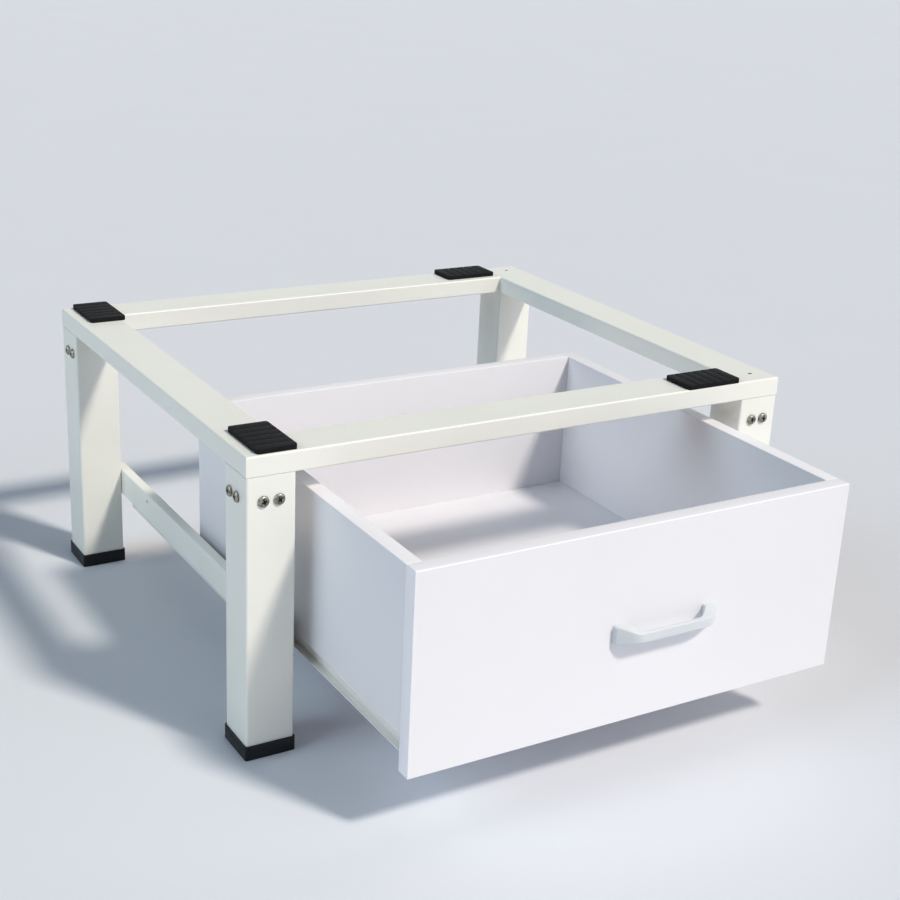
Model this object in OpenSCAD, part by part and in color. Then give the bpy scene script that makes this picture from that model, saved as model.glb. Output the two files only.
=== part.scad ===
// Washer pedestal with a drawer: a bolted steel stand and a board drawer on roller runners.
// Millimetres. X to the right, Y to the back, Z up. The front faces -Y.
// The drawer is drawn part way open, and its slide counts from there.

/* [Stand] */
// Width of the stand over its legs
stand_w = 632; // [600:1:680]
// Depth of the stand over its legs
stand_d = 545; // [530:1:620]
// Height of the steel top frame above the floor
stand_h = 314; // [306:1:340]
// Radius on the outer edges of the top frame's tube
rail_r = 1.8; // [1:0.1:2.2]
// Height of the top frame's flat tube
rail_h = 21; // [18:0.5:26]
// Width of the top frame's flat tube
rail_w = 50; // [46:1:60]
// Wall of the top frame's tube
rail_wall = 1.5; // [1.2:0.1:2.5]

/* [Legs] */
// Side of the square leg tube
leg_w = 50; // [48:1:54]
// Wall of the leg tube
leg_wall = 1.5; // [1.2:0.1:2]
// Radius on the leg tube's outer corners
leg_r = 2.5; // [2.2:0.1:4]
// Height of the corner socket inside the leg
socket_h = 46; // [40:1:60]
// Wall of the corner socket
socket_wall = 2.5; // [2:0.1:4]
// Clearance between the socket and the leg, each side
socket_gap = 0.2; // [0.1:0.05:0.4]
// Distance between the two screws on one face of a leg
leg_screw_pitch = 16; // [14:0.2:20]
// Depth of the leg screws below the top frame
leg_screw_drop = 24; // [16:0.5:30]
// Shift of the screws on a leg's side face towards the stand's middle
leg_side_shift = 4; // [0:0.5:6]
// Diameter of the leg screws' shanks
leg_screw_d = 6; // [5:0.5:6.5]
// Length of the leg screws' shanks
leg_screw_l = 9; // [7:0.5:10]
// Diameter of the leg screws' heads
leg_head_d = 11.4; // [10:0.1:13]
// Height of the leg screws' heads
leg_head_h = 2.8; // [2:0.1:3.5]

/* [Feet and pads] */
// Height of a foot cap
cap_h = 15.5; // [12:0.5:22]
// Thickness of a foot cap under the leg
cap_base = 3; // [2:0.5:6]
// Wall of a foot cap round the leg
cap_wall = 1.5; // [1.2:0.1:2.5]
// Length of an anti-slip pad
pad_l = 70; // [50:1:80]
// Width of an anti-slip pad
pad_w = 41; // [30:1:46]
// Thickness of an anti-slip pad
pad_h = 5; // [3:0.5:8]
// Distance of the left pads from the stand's left side
pad_left_inset = 12; // [4:1:16]
// Distance of the right pads from the stand's right side
pad_right_inset = 55; // [50:1:70]
// Distance of the left pads from the front or back of the stand
pad_edge_inset = 3; // [1:0.5:6]

/* [Lower rails] */
// Height of a lower side rail
low_h = 32; // [28:1:36]
// Thickness of a lower side rail
low_t = 12; // [10:0.5:14]
// Wall of a lower side rail
low_wall = 1.2; // [1:0.1:1.8]
// How far a lower side rail reaches past each leg's inner edge
low_lap = 23; // [20:1:30]
// Diameter of the lower rails' screws
low_screw_d = 4.8; // [4:0.2:5.5]

/* [Drawer box] */
// Gap between the stand's side and the drawer's side
drawer_gap = 70; // [69:0.5:74]
// Distance that the drawer is drawn out of the stand
open_rest = 191; // [150:1:230]
// Furthest that the drawer comes out of the stand
open_most = 340; // [300:1:350]
// Thickness of the drawer's front board
panel_t = 17; // [14:0.5:20]
// Height of the drawer's front board
panel_h = 201; // [195:1:206]
// Height of the drawer front's lower edge above the floor
panel_z = 67.4; // [64:0.2:72]
// Thickness of the drawer's side and back boards
board_t = 16; // [14:0.5:18]
// Thickness of the drawer's bottom board
floor_t = 16; // [14:0.5:18]
// Length of the drawer box behind its front board
box_l = 466; // [440:1:468]
// Height of the drawer's side boards
side_h = 163.4; // [150:0.2:164]
// Depth that the dowels reach into the front board
dowel_in_panel = 10; // [8:0.5:11]
// Diameter of the dowels
dowel_d = 8; // [6:0.5:8]
// Length of the dowels
dowel_l = 34; // [28:1:36]
// Diameter of the cam locks
cam_d = 15; // [12:0.5:15]
// Depth of the cam locks
cam_h = 12.5; // [11:0.5:13]
// Distance of a cam lock's centre from the front board
cam_back = 34; // [30:1:36]
// Distance of the cam locks from the sides' upper and lower edges
cam_edge = 45; // [42:1:55]
// Distance of the outer dowels from the sides' upper and lower edges
dowel_edge = 22; // [14:1:28]
// Depth that the bottom board's screws reach into the boards above
bottom_bite = 18; // [12:1:20]

/* [Handle] */
// Distance of the handle's centre from the drawer front's left edge
handle_x = 272.5; // [200:0.5:300]
// Height of the handle's centre above the floor
handle_z = 163; // [140:0.5:190]
// Length of the handle over its feet
handle_l = 119.5; // [100:0.5:150]
// Length of the handle's front bar
bar_l = 84; // [76:0.5:92]
// Height of the handle's front bar
bar_h = 10; // [8:0.5:14]
// Thickness of the handle's front bar
bar_t = 5; // [4:0.5:7]
// How far the handle stands out from the drawer front
handle_reach = 19; // [16:0.5:26]
// Width of one handle foot
foot_w = 15; // [12:0.5:18]
// Height of one handle foot
foot_h = 19.5; // [18:0.5:28]
// Thickness of one handle foot on the board
foot_t = 4.6; // [3:0.2:6]

/* [Runners] */
// Thickness of the runners' steel
sheet = 1.2; // [1:0.1:1.4]
// Set-back of the drawer's runner from the drawer's side
runner_inset = 6.5; // [6.2:0.1:7]
// Width of the runner's shelf under the bottom board
shelf_w = 14; // [10:0.5:16]
// Radius of the rollers on the stand
front_roller_r = 8; // [7:0.1:8.2]
// Width of the rollers on the stand
front_roller_w = 4.4; // [3.6:0.2:4.4]
// Radius of the rollers on the drawer
rear_roller_r = 7; // [6.6:0.1:7.2]
// Width of the rollers on the drawer
rear_roller_w = 7; // [5:0.5:7]
// Diameter of the rollers' axles
axle_d = 5; // [4:0.5:5.5]
// Distance of the fixed runner's end from a leg
runner_end_gap = 2; // [1:0.5:4]
// Distance of the fixed runner's screws from its ends
fixed_screw_in = 86; // [60:1:120]
// Distance of the front roller's axle from the fixed runner's end
roller_in = 10; // [9:0.5:12]
// Length of the fixed runner's open mouth at its front roller
mouth_l = 24; // [22:1:30]
// Distance of the drawer roller's axle from the drawer's back end
tail_in = 14; // [10:0.5:18]
// Distance between the screws of the drawer's runner
runner_pitch = 78; // [60:1:96]
// Distance of the runner's first screw from the front board
runner_first = 9; // [8:1:30]

/* [Hidden] */

$fn = 48;
eps = 0.01;

// Finishes
cream = "#ecece4";
white_board = "#eeeef3";
board_edge = "#e9eaf0";
black_plastic = "#15191c";
black_rubber = "#0e1013";
zinc = "#b9b4a6";
runner_white = "#dfe3dc";
nylon = "#f1f2ee";
beech = "#d8b98a";
handle_white = "#e3e6e8";

// Play left round a shank, an axle or a dowel in its hole
play = 0.05;
// Rolling gap between a roller and its track
roll_gap = 0.05;
// Play of the drawer's roller above and below in its channel
channel_play = 0.1;

// Stand: its origin is the middle of the stand's front, on the floor
half_w = stand_w / 2;
rail_z = stand_h - rail_h;
leg_in_w = leg_w - 2 * leg_wall;
socket_w = leg_in_w - 2 * socket_gap;
leg_screw_z = rail_z - leg_screw_drop;
low_x = half_w - leg_w;
low_y = [leg_w - low_lap, stand_d - leg_w + low_lap];
low_screw_y = [low_y[0] + low_lap / 2, low_y[1] - low_lap / 2];
low_head_d = 9;
low_head_h = 2.4;

// Drawer, at its place part way open
drawer_half = half_w - drawer_gap;
panel_y = -open_rest;
box_y = panel_y + panel_t;
box_end = box_y + box_l;
side_z = panel_z + panel_h - side_h;
floor_z = side_z - floor_t;
runner_half = drawer_half - runner_inset;
floor_half = runner_half - sheet;
ledge_z = floor_z - sheet;

// The lower rails hang level with the drawer's runners
low_lift = 0.5;
low_z = ledge_z + low_lift;
low_screw_z = [low_z + low_h / 4, low_z + 3 * low_h / 4];

// Runners: the fixed channel hangs on the lower rail's inner face
channel_out = low_x - low_t;
track_z = ledge_z - roll_gap;
channel_top = ledge_z - 0.8;
channel_in_h = 2 * rear_roller_r + 3 * channel_play;
channel_z = channel_top - 2 * sheet - channel_in_h;
channel_depth = channel_out - runner_half - 0.6;
channel_y = [leg_w + runner_end_gap, stand_d - leg_w - runner_end_gap];
channel_lip = 2.4;
web_top = low_z + low_h - 2.4;
fixed_screw_z = web_top - 7;
fixed_screw_y = [channel_y[0] + fixed_screw_in, channel_y[1] - fixed_screw_in];
front_axle_y = channel_y[0] + roller_in;
front_axle_z = track_z - front_roller_r;
front_roller_x = runner_half + 0.3 + front_roller_w / 2;
rear_axle_y = box_end - tail_in;
rear_axle_z = channel_top - sheet - channel_play - rear_roller_r;
rear_roller_x = channel_out - sheet - 3.3 - rear_roller_w / 2;
runner_screw_count = floor((box_l - runner_first - tail_in) / runner_pitch) + 1;
runner_screw_z = floor_z + 6;

// Handle
handle_cx = -drawer_half + handle_x;
hole_pitch = handle_l - foot_w;

// The part's own origin is the middle of its box on the floor, with the drawer as drawn
reach_front = open_rest + handle_reach;
reach_back = stand_d + leg_head_h;
shift_y = (reach_front - reach_back) / 2;
module placed() translate([0, shift_y, 0]) children();

// ---- shapes used more than once ----

// Rectangle with round corners, centred
module round_rect(w, h, r) {
    square([w - 2 * r, h], center = true);
    square([w, h - 2 * r], center = true);
    for (x = [-1, 1], y = [-1, 1]) translate([x * (w / 2 - r), y * (h / 2 - r)]) circle(r);
}

// Cross-section of a drawn tube
module tube_section(w, h, r, wall) {
    difference() {
        round_rect(w, h, r);
        round_rect(w - 2 * wall, h - 2 * wall, max(r - wall, 0.3));
    }
}

// Cylinder along X from x = 0, and along Y from y = 0
module along_x(d, l) rotate([0, 90, 0]) cylinder(d = d, h = l);
module along_y(d, l) rotate([-90, 0, 0]) cylinder(d = d, h = l);

// Both sides of the part: children are drawn for the right and mirrored to the left
module both_sides() for (s = [0, 1]) mirror([s, 0, 0]) children();

// Four corners of the stand, numbered front left, front right, rear left, rear right
corner_sign = [[-1, 0], [1, 0], [-1, 1], [1, 1]];
module at_corner(i) {
    translate([corner_sign[i][0] * half_w, corner_sign[i][1] * stand_d, 0])
        mirror([corner_sign[i][0] > 0 ? 1 : 0, 0, 0]) mirror([0, corner_sign[i][1], 0]) children();
}

// Cross-slotted screw standing on z = 0, its shank going down
module cross_screw(shank_d, shank_l, head_d, head_h) {
    slot = head_d * 0.48;
    dome_r = (head_d * head_d / 4 + head_h * head_h) / (2 * head_h);
    difference() {
        union() {
            translate([0, 0, -shank_l]) cylinder(d = shank_d, h = shank_l + eps);
            intersection() {
                cylinder(d = head_d, h = head_h);
                translate([0, 0, head_h - dome_r]) sphere(dome_r);
            }
        }
        for (a = [0, 90]) rotate(a)
            translate([-slot / 2, -head_d * 0.055, head_h * 0.45]) cube([slot, head_d * 0.11, head_h]);
    }
}

// Countersunk screw with its flat head's top on z = 0, its shank going down
module flush_screw(shank_d, shank_l, head_d) {
    head_h = (head_d - shank_d) / 2;
    difference() {
        union() {
            translate([0, 0, -shank_l]) cylinder(d = shank_d, h = shank_l);
            translate([0, 0, -head_h]) cylinder(d1 = shank_d, d2 = head_d, h = head_h);
        }
        for (a = [0, 90]) rotate(a)
            translate([-head_d * 0.25, -head_d * 0.06, -head_h * 0.5]) cube([head_d * 0.5, head_d * 0.12, head_h]);
    }
}
module flush_hole(shank_d, shank_l, head_d) {
    head_h = (head_d - shank_d) / 2;
    translate([0, 0, -shank_l - 1]) cylinder(d = shank_d + 2 * play, h = shank_l + 2);
    translate([0, 0, -head_h - play]) cylinder(d1 = shank_d + 2 * play, d2 = head_d + 2 * play, h = head_h + play);
    translate([0, 0, -eps]) cylinder(d = head_d + 2 * play, h = 1);
}

// ---- top frame ----

// One flat tube of the frame with mitred ends, its outer face on y = 0
module mitred_rail(l) {
    intersection() {
        translate([-l / 2, rail_w / 2, rail_z + rail_h / 2]) rotate([90, 0, 90])
            linear_extrude(l) tube_section(rail_w, rail_h, rail_r, rail_wall);
        translate([0, 0, rail_z - 1]) linear_extrude(rail_h + 2)
            polygon([[-l / 2, 0], [l / 2, 0], [l / 2 - rail_w, rail_w], [rail_w - l / 2, rail_w]]);
    }
}
module front_rail() placed() color(cream) mitred_rail(stand_w);
module rear_rail() placed() color(cream) translate([0, stand_d, 0]) rotate(180) mitred_rail(stand_w);
module left_rail() placed() color(cream)
    translate([-half_w, stand_d / 2, 0]) rotate(-90) mitred_rail(stand_d);
module right_rail() placed() color(cream)
    translate([half_w, stand_d / 2, 0]) rotate(90) mitred_rail(stand_d);

// ---- legs: each is drawn at the front left corner with its outer faces on x = 0 and y = 0 ----

// Places of one leg's screws: children stand on the leg's face and point into it
module leg_screw_places() {
    for (s = [-1, 1]) {
        translate([leg_w / 2 + s * leg_screw_pitch / 2, 0, leg_screw_z]) rotate([90, 0, 0]) children();
        translate([0, leg_w / 2 + leg_side_shift + s * leg_screw_pitch / 2, leg_screw_z])
            rotate([0, -90, 0]) children();
    }
}
module leg_screw_holes() leg_screw_places()
    translate([0, 0, -leg_screw_l - 1]) cylinder(d = leg_screw_d + 2 * play, h = leg_screw_l + 2);

// Places of the lower rail's screws at one leg: their shanks go through the rail into the leg
module low_screw_places() {
    for (z = low_screw_z) translate([leg_w + low_t, leg_w - low_lap / 2, z]) rotate([0, 90, 0]) children();
}
low_screw_l = low_t + leg_wall + 6;
module low_screw_holes() low_screw_places()
    translate([0, 0, -low_screw_l - 1]) cylinder(d = low_screw_d + 2 * play, h = low_screw_l + 2);

module leg(i) placed() at_corner(i) color(cream) difference() {
    translate([leg_w / 2, leg_w / 2, cap_base])
        linear_extrude(rail_z - cap_base) tube_section(leg_w, leg_w, leg_r, leg_wall);
    leg_screw_holes();
    low_screw_holes();
}
module socket(i) placed() at_corner(i) color(cream) difference() {
    translate([leg_w / 2, leg_w / 2, rail_z - socket_h])
        linear_extrude(socket_h) tube_section(socket_w, socket_w, leg_r, socket_wall);
    leg_screw_holes();
}
module leg_screws() placed() color(zinc) for (i = [0:3]) at_corner(i) leg_screw_places()
    cross_screw(leg_screw_d, leg_screw_l, leg_head_d, leg_head_h);

// Foot cap: a cup pushed over the leg's end, with a softened rim
module foot_cap(i) placed() at_corner(i) color(black_plastic) translate([leg_w / 2, leg_w / 2, 0]) {
    outer = leg_w + 2 * cap_wall;
    rim = 1;
    linear_extrude(cap_base) round_rect(outer, outer, leg_r + cap_wall);
    translate([0, 0, cap_base]) linear_extrude(cap_h - cap_base - rim) difference() {
        round_rect(outer, outer, leg_r + cap_wall);
        round_rect(leg_w + 2 * play, leg_w + 2 * play, leg_r);
    }
    translate([0, 0, cap_h - rim]) linear_extrude(rim) difference() {
        round_rect(outer - rim, outer - rim, leg_r + cap_wall - rim / 2);
        round_rect(leg_w + 2 * play, leg_w + 2 * play, leg_r);
    }
}

// ---- anti-slip pads on the top frame ----
pad_r = 3;
pad_groove = 1;
// Rubber pad with its corner at the origin, l along Y, and grooves across its top
module pad(w, l) difference() {
    translate([w / 2, l / 2, stand_h]) linear_extrude(pad_h) round_rect(w, l, pad_r);
    for (k = [1:5]) translate([-1, k * l / 6 - pad_groove / 2, stand_h + pad_h - pad_groove])
        cube([w + 2, pad_groove, pad_groove + 1]);
}
module pad_front_left() placed() color(black_rubber)
    translate([pad_left_inset - half_w, pad_edge_inset, 0]) pad(pad_w, pad_l);
module pad_rear_left() placed() color(black_rubber)
    translate([pad_left_inset - half_w, stand_d - pad_edge_inset - pad_l, 0]) pad(pad_w, pad_l);
module pad_front_right() placed() color(black_rubber)
    translate([half_w - pad_right_inset, 0, 0]) rotate(90) pad(pad_w, pad_l);
module pad_rear_right() placed() color(black_rubber)
    translate([half_w - pad_right_inset, stand_d - pad_w, 0]) rotate(90) pad(pad_w, pad_l);

// ---- lower side rails ----

// Places of a fixed runner's screws, on the right side: their shanks go out through the rail
module fixed_screw_places() {
    for (y = fixed_screw_y) translate([channel_out - sheet, y, fixed_screw_z]) rotate([0, -90, 0]) children();
}
fixed_screw_d = 4;
fixed_screw_l = sheet + low_t - 0.5;

// The right lower rail, and the left one by mirror
module lower_rail() difference() {
    translate([low_x - low_t / 2, low_y[0], low_z + low_h / 2]) rotate([-90, 0, 0])
        linear_extrude(low_y[1] - low_y[0]) tube_section(low_t, low_h, rail_r, low_wall);
    for (i = [1, 3]) at_corner(i) low_screw_holes();
    fixed_screw_places() translate([0, 0, -fixed_screw_l - 1])
        cylinder(d = fixed_screw_d + 2 * play, h = fixed_screw_l + 1);
}
module lower_rail_right() placed() color(cream) lower_rail();
module lower_rail_left() placed() color(cream) mirror([1, 0, 0]) lower_rail();
module lower_rail_screws() placed() color(zinc) for (i = [0:3]) at_corner(i) low_screw_places()
    cross_screw(low_screw_d, low_screw_l, low_head_d, low_head_h);

// ---- fixed runners and their front rollers, drawn for the right side ----

// Flat steel strip of the channel: x0 and x1 count inwards from the rail's inner face
module strip(x0, x1, y0, y1, z0, z1) translate([channel_out - x1, y0, z0]) cube([x1 - x0, y1 - y0, z1 - z0]);

module fixed_runner() difference() {
    full = channel_y[0] + mouth_l;
    union() {
        strip(0, sheet, channel_y[0], channel_y[1], channel_z, web_top);
        strip(0, channel_depth, channel_y[0], channel_y[1], channel_z, channel_z + sheet);
        strip(0, channel_depth, full, channel_y[1], channel_top - sheet, channel_top);
        strip(channel_depth - sheet, channel_depth, full, channel_y[1], channel_z, channel_z + sheet + channel_lip);
        strip(channel_depth - sheet, channel_depth, full, channel_y[1], channel_top - sheet - channel_lip, channel_top);
        strip(0, channel_depth, channel_y[1] - sheet, channel_y[1], channel_z, channel_top);
    }
    fixed_screw_places() translate([0, 0, -sheet - 1]) cylinder(d = fixed_screw_d + 2 * play, h = sheet + 2);
    translate([channel_out - sheet - 1, front_axle_y, front_axle_z]) along_x(axle_d + 2 * play, sheet + 2);
}
module fixed_runner_right() placed() color(runner_white) fixed_runner();
module fixed_runner_left() placed() color(runner_white) mirror([1, 0, 0]) fixed_runner();
module fixed_runner_screws() placed() color(zinc) both_sides() fixed_screw_places()
    cross_screw(fixed_screw_d, fixed_screw_l, 7, 2);

// Nylon roller along X, centred on the origin, with a grooved face
module roller(r, w, bore_d) {
    groove = 0.5;
    rotate([0, 90, 0]) rotate_extrude() polygon([
        [bore_d / 2 + play, -w / 2], [r - groove, -w / 2], [r, groove - w / 2],
        [r, w / 2 - groove], [r - groove, w / 2], [bore_d / 2 + play, w / 2]]);
}
module front_roller(side) placed() color(nylon)
    translate([side * front_roller_x, front_axle_y, front_axle_z]) roller(front_roller_r, front_roller_w, axle_d);

// Shouldered rivet through the fixed runner's web
module front_roller_axles() placed() color(zinc) both_sides()
    translate([0, front_axle_y, front_axle_z]) {
        inner = runner_half + 0.1;
        roller_out = front_roller_x + front_roller_w / 2 + 0.2;
        translate([inner, 0, 0]) along_x(axle_d, channel_out + 1 - inner);
        translate([inner - 0.7, 0, 0]) along_x(axle_d + 2, 0.7 + eps);
        translate([roller_out, 0, 0]) along_x(axle_d + 3, channel_out - sheet - roller_out);
        translate([channel_out, 0, 0]) along_x(axle_d + 2, 1);
    }

// ---- drawer runners and their rear rollers, drawn for the right side ----

// Places of the drawer runner's screws, pointing inwards
runner_screw_d = 3.5;
runner_screw_l = 16;
module runner_screw_places() {
    for (k = [0:runner_screw_count - 1])
        translate([runner_half, box_y + runner_first + k * runner_pitch, runner_screw_z])
            rotate([0, 90, 0]) children();
}
module runner_screw_holes() runner_screw_places()
    translate([0, 0, -runner_screw_l - 1]) cylinder(d = runner_screw_d + 2 * play, h = runner_screw_l + 2);

module drawer_runner() difference() {
    tab_z = rear_axle_z - axle_d;
    tab_l = 2 * tail_in;
    union() {
        translate([floor_half, box_y, ledge_z]) cube([sheet, box_l, side_z - 1 - ledge_z]);
        translate([floor_half - shelf_w, box_y, ledge_z]) cube([drawer_half - floor_half + shelf_w, box_l, sheet]);
        translate([floor_half, box_end - tab_l, tab_z]) cube([sheet, tab_l, ledge_z - tab_z + eps]);
    }
    runner_screw_holes();
    translate([floor_half - 1, rear_axle_y, rear_axle_z]) along_x(axle_d + 2 * play, sheet + 2);
}
module drawer_runner_right() placed() color(runner_white) drawer_runner();
module drawer_runner_left() placed() color(runner_white) mirror([1, 0, 0]) drawer_runner();
module drawer_runner_screws() placed() color(zinc) both_sides() runner_screw_places()
    cross_screw(runner_screw_d, runner_screw_l, 5.8, 1.1);

module rear_roller(side) placed() color(nylon)
    translate([side * rear_roller_x, rear_axle_y, rear_axle_z]) roller(rear_roller_r, rear_roller_w, axle_d);

// Shouldered rivet through the drawer runner's tail
module rear_roller_axles() placed() color(zinc) both_sides()
    translate([0, rear_axle_y, rear_axle_z]) {
        roller_in_x = rear_roller_x - rear_roller_w / 2 - 0.2;
        roller_out_x = rear_roller_x + rear_roller_w / 2 + 0.2;
        translate([floor_half - 0.8, 0, 0]) along_x(axle_d, roller_out_x - floor_half + 0.8);
        translate([floor_half - 1, 0, 0]) along_x(axle_d + 2, 1);
        translate([runner_half, 0, 0]) along_x(axle_d + 2, roller_in_x - runner_half);
        translate([roller_out_x, 0, 0]) along_x(axle_d + 2, 0.8);
    }

// ---- drawer box ----

// Dowels between a side and the front board, and between the back board and the sides
dowel_z = [side_z + dowel_edge, side_z + side_h / 2, side_z + side_h - dowel_edge];
cam_z = [side_z + cam_edge, side_z + side_h - cam_edge];
dowel_play = 0.1;
module dowel_places(extra = 0) {
    for (z = dowel_z) {
        translate([drawer_half - board_t / 2, box_y - dowel_in_panel - extra, z])
            along_y(dowel_d + extra, dowel_l + 2 * extra);
        translate([drawer_half - board_t + dowel_in_panel - dowel_l - extra, box_end - board_t / 2, z])
            along_x(dowel_d + extra, dowel_l + 2 * extra);
    }
}
module drawer_dowels() placed() color(beech) both_sides() dowel_places();

// Cam locks in the inner faces of the sides, and the bolts that they draw in
bolt_d = 5;
bolt_in_panel = 11;
module cam_places() {
    for (z = cam_z) translate([drawer_half - board_t, box_y + cam_back, z]) children();
}
module cam_locks() placed() color(zinc) both_sides() cam_places() difference() {
    translate([0.1, 0, 0]) along_x(cam_d - 0.2, cam_h - 0.2);
    translate([board_t / 2, -cam_d, 0]) along_y(bolt_d + 1, 2 * cam_d);
    for (a = [0, 90]) rotate([a, 0, 0]) translate([-1, -3.4, -0.7]) cube([3, 6.8, 1.4]);
}
module bolt_axis(d, extra) for (z = cam_z)
    translate([drawer_half - board_t / 2, box_y - bolt_in_panel - extra, z])
        along_y(d, bolt_in_panel + cam_back + extra);
module cam_bolts() placed() color(zinc) both_sides() bolt_axis(bolt_d, 0);

// Screws up through the bottom board into the sides and the back
bottom_screw_d = 3.5;
bottom_screw_l = floor_t + bottom_bite;
bottom_head_d = 6.6;
bottom_screw_x = (drawer_half - board_t + floor_half) / 2;
module bottom_screw_places() {
    for (k = [0:runner_screw_count - 2], s = [-1, 1])
        translate([s * bottom_screw_x, box_y + runner_first + (k + 0.5) * runner_pitch, floor_z])
            rotate([180, 0, 0]) children();
    for (s = [-1, 0, 1])
        translate([s * drawer_half * 0.6, box_end - board_t / 2, floor_z]) rotate([180, 0, 0]) children();
}
module bottom_screws() placed() color(zinc) bottom_screw_places()
    flush_screw(bottom_screw_d, bottom_screw_l, bottom_head_d);
module bottom_screw_holes() bottom_screw_places() flush_hole(bottom_screw_d, bottom_screw_l, bottom_head_d);

// Handle screws through the front board
handle_screw_d = 4;
handle_screw_l = panel_t + 6;
module handle_screw_places() {
    for (s = [-1, 1]) translate([handle_cx + s * hole_pitch / 2, box_y, handle_z]) rotate([-90, 0, 0]) children();
}
module handle_screw_holes() handle_screw_places()
    translate([0, 0, -handle_screw_l - 0.5]) cylinder(d = handle_screw_d + 2 * play, h = handle_screw_l + 1);
module handle_screws() placed() color(zinc) handle_screw_places()
    cross_screw(handle_screw_d, handle_screw_l, 8, 2.4);

module drawer_front() placed() color(white_board) difference() {
    translate([-drawer_half, panel_y, panel_z]) cube([2 * drawer_half, panel_t, panel_h]);
    handle_screw_holes();
    both_sides() dowel_places(dowel_play);
    both_sides() bolt_axis(bolt_d + 2 * play, dowel_play);
}
module drawer_side() difference() {
    translate([drawer_half - board_t, box_y, side_z]) cube([board_t, box_l, side_h]);
    dowel_places(dowel_play);
    bolt_axis(bolt_d + 2 * play, 0);
    cam_places() translate([-eps, 0, 0]) along_x(cam_d, cam_h);
    bottom_screw_holes();
}
module drawer_side_right() placed() color(white_board) drawer_side();
module drawer_side_left() placed() color(white_board) mirror([1, 0, 0]) drawer_side();
module drawer_back() placed() color(white_board) difference() {
    translate([board_t - drawer_half, box_end - board_t, side_z])
        cube([2 * (drawer_half - board_t), board_t, side_h]);
    both_sides() dowel_places(dowel_play);
    bottom_screw_holes();
}
module drawer_bottom() placed() color(board_edge) difference() {
    translate([-floor_half, box_y, floor_z]) cube([2 * floor_half, box_l, floor_t]);
    both_sides() runner_screw_holes();
    bottom_screw_holes();
}

// Bow handle: splayed feet on the board, drawn in to a flat bar
module handle() placed() color(handle_white) difference() {
    bar_y = panel_y - handle_reach;
    bar_end = handle_cx - bar_l / 2;
    union() {
        translate([bar_end, bar_y, handle_z - bar_h / 2]) cube([bar_l, bar_t, bar_h]);
        for (s = [0, 1]) translate([handle_cx, 0, 0]) mirror([s, 0, 0]) translate([-handle_cx, 0, 0]) {
            foot_x = handle_cx - handle_l / 2;
            hull() {
                translate([foot_x, panel_y - foot_t, handle_z - foot_h / 2]) cube([foot_w, foot_t, foot_h]);
                translate([bar_end, bar_y, handle_z - bar_h / 2]) cube([foot_w * 0.3, bar_t, bar_h]);
            }
        }
    }
    handle_screw_holes();
}

// ---- drawing ----
front_rail();
rear_rail();
left_rail();
right_rail();
socket(0);  // socket_front_left
socket(1);  // socket_front_right
socket(2);  // socket_rear_left
socket(3);  // socket_rear_right
leg(0);  // leg_front_left
leg(1);  // leg_front_right
leg(2);  // leg_rear_left
leg(3);  // leg_rear_right
leg_screws();
foot_cap(0);  // foot_cap_front_left
foot_cap(1);  // foot_cap_front_right
foot_cap(2);  // foot_cap_rear_left
foot_cap(3);  // foot_cap_rear_right
pad_front_left();
pad_front_right();
pad_rear_left();
pad_rear_right();
lower_rail_left();
lower_rail_right();
lower_rail_screws();
fixed_runner_left();
fixed_runner_right();
fixed_runner_screws();
front_roller(-1);  // front_roller_left
front_roller(1);  // front_roller_right
front_roller_axles();
drawer_front();
drawer_side_left();
drawer_side_right();
drawer_back();
drawer_bottom();
drawer_dowels();
cam_locks();
cam_bolts();
bottom_screws();
handle();
handle_screws();
drawer_runner_left();
drawer_runner_right();
drawer_runner_screws();
rear_roller(-1);  // rear_roller_left
rear_roller(1);  // rear_roller_right
rear_roller_axles();
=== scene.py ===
"""Washer pedestal with a drawer: finishes, board edges, handle, caps, pads and screws.

Lengths are in metres in the part's frame. Sizes that a user can change are given in millimetres.
"""

import math
import random

import bmesh
import bpy
import mathutils
from bpy.props import FloatProperty, FloatVectorProperty, PointerProperty
from mathutils import Matrix, Vector


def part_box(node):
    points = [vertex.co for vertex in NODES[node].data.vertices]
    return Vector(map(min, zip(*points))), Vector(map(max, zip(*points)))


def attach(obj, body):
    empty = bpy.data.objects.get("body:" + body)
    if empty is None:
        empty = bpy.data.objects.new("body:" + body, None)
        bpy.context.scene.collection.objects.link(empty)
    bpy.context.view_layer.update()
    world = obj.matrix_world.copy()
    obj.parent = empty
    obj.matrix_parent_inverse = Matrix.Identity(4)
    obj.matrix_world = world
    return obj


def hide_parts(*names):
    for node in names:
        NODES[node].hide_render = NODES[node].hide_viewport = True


bl_info = {
    "name": "Washer Pedestal Drawer",
    "version": (1, 0, 0),
    "blender": (4, 5, 0),
    "location": "View3D > Sidebar > Pedestal",
    "description": "Dresses the steel stand and its drawer",
    "category": "Object",
}

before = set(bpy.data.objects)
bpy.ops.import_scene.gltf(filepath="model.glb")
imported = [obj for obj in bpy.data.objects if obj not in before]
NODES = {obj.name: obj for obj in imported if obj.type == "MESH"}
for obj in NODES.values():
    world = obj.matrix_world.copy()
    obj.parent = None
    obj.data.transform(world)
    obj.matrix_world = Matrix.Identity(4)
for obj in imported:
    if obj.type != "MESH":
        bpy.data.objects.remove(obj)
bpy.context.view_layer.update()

MM = 0.001
TOUCH = 1e-6  # two points nearer than this are one
ROUND_SIDES = 48  # sides of a round head or pocket


def linear(hex_colour):
    """An sRGB hex colour as linear RGBA."""
    parts = [int(hex_colour[i : i + 2], 16) / 255 for i in (1, 3, 5)]
    rgb = (c / 12.92 if c <= 0.04045 else ((c + 0.055) / 1.055) ** 2.4 for c in parts)
    return (*rgb, 1.0)


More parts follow.
